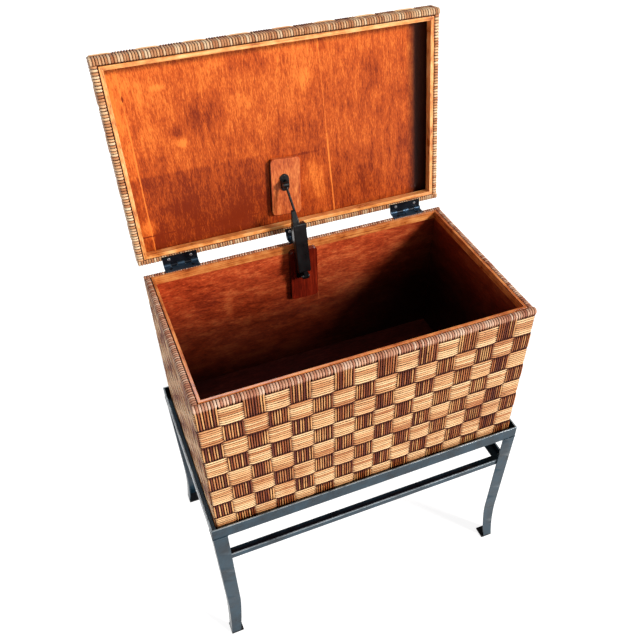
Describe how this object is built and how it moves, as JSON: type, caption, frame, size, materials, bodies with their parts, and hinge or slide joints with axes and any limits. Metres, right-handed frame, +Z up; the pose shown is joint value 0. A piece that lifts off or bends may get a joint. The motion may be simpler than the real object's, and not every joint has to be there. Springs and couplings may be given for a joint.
{
  "type": "wicker storage trunk",
  "caption": "Lidded storage trunk of checker-woven rattan over a stained plywood box, lid hinged at the back with a folding stay, standing in an angle-iron tray stand with legs.",
  "frame": {"origin": "on the floor, at the centre of the footprint of the whole object with its lid open", "axes": "+Z up, +X along the trunk's width to the right seen from the front, -Y towards the front, +Y towards the hinges"},
  "size_m": [0.74, 0.5576, 1.2278],
  "materials": {
    "rattan": "woven split rattan, light brown with darker uprights",
    "rattan_binding": "varnished rattan wrapping, glossy",
    "plywood": "orange-brown stained plywood, satin",
    "timber": "clear varnished light timber strip",
    "gunmetal": "blue-grey lacquered steel angle with mill marks",
    "foot_black": "black painted steel plate",
    "blued_steel": "blued steel, satin",
    "black_steel": "black enamel, semi-gloss",
    "bright_steel": "zinc plated"
  },
  "bodies": {
    "trunk": {"weave_front": "rattan", "weave_back": "rattan", "weave_left": "rattan", "weave_right": "rattan", "rim_binding": "rattan_binding", "wall_front": "plywood", "wall_back": "plywood", "wall_left": "plywood", "wall_right": "plywood", "floor_panel": "plywood", "stay_block_trunk": "plywood", "rim_lip": "timber", "floor_batten_left": "timber", "floor_batten_right": "timber", "rail_front": "gunmetal", "rail_right": "gunmetal", "rail_back": "gunmetal", "rail_left": "gunmetal", "stretcher_front": "gunmetal", "stretcher_right": "gunmetal", "stretcher_back": "gunmetal", "stretcher_left": "gunmetal", "leg_front_left": "gunmetal", "leg_front_right": "gunmetal", "leg_back_right": "gunmetal", "leg_back_left": "gunmetal", "foot_plate_front_left": "foot_black", "foot_plate_front_right": "foot_black", "foot_plate_back_right": "foot_black", "foot_plate_back_left": "foot_black", "hinge_left_trunk_leaf": "blued_steel", "hinge_left_pin": "blued_steel", "hinge_middle_trunk_leaf": "blued_steel", "hinge_middle_pin": "blued_steel", "hinge_right_trunk_leaf": "blued_steel", "hinge_right_pin": "blued_steel", "stay_bracket_trunk": "black_steel", "stay_pin_trunk": "bright_steel"},
    "lid": {"lid_weave": "rattan", "lid_binding": "rattan_binding", "lid_panel": "plywood", "lid_frame": "plywood", "stay_block_lid": "plywood", "lid_lip": "timber", "hinge_left_lid_leaf": "blued_steel", "hinge_middle_lid_leaf": "blued_steel", "hinge_right_lid_leaf": "blued_steel", "stay_bracket_lid": "black_steel", "stay_pin_lid": "bright_steel", "hinge_left_screw_a": "bright_steel", "hinge_left_screw_b": "bright_steel", "hinge_middle_screw_a": "bright_steel", "hinge_middle_screw_b": "bright_steel", "hinge_right_screw_a": "bright_steel", "hinge_right_screw_b": "bright_steel"},
    "arm": {"stay_arm": "black_steel", "stay_elbow_pin": "bright_steel"},
    "rod": {"stay_rod": "black_steel"}
  },
  "joints": [
    {"name": "lid_hinge", "type": "hinge", "parent": "trunk", "child": "lid", "pos_m": [0, 0.1627, 0.8045], "axis": [1, 0, 0], "range_deg": [0, 99.1]},
    {"name": "stay_arm_fold", "type": "hinge", "parent": "trunk", "child": "arm", "pos_m": [-0.009, 0.0991, 0.7366], "axis": [1, 0, 0], "range_deg": [0, 101.4]},
    {"name": "stay_rod_fold", "type": "hinge", "parent": "arm", "child": "rod", "pos_m": [-0.009, 0.12568, 0.85269], "axis": [1, 0, 0], "range_deg": [-101.4, 0]}
  ],
  "couplings": [
    {"joint": "stay_arm_fold", "follows": "lid_hinge", "ratio": 1.0208},
    {"joint": "stay_rod_fold", "follows": "lid_hinge", "ratio": -1.0208}
  ]
}
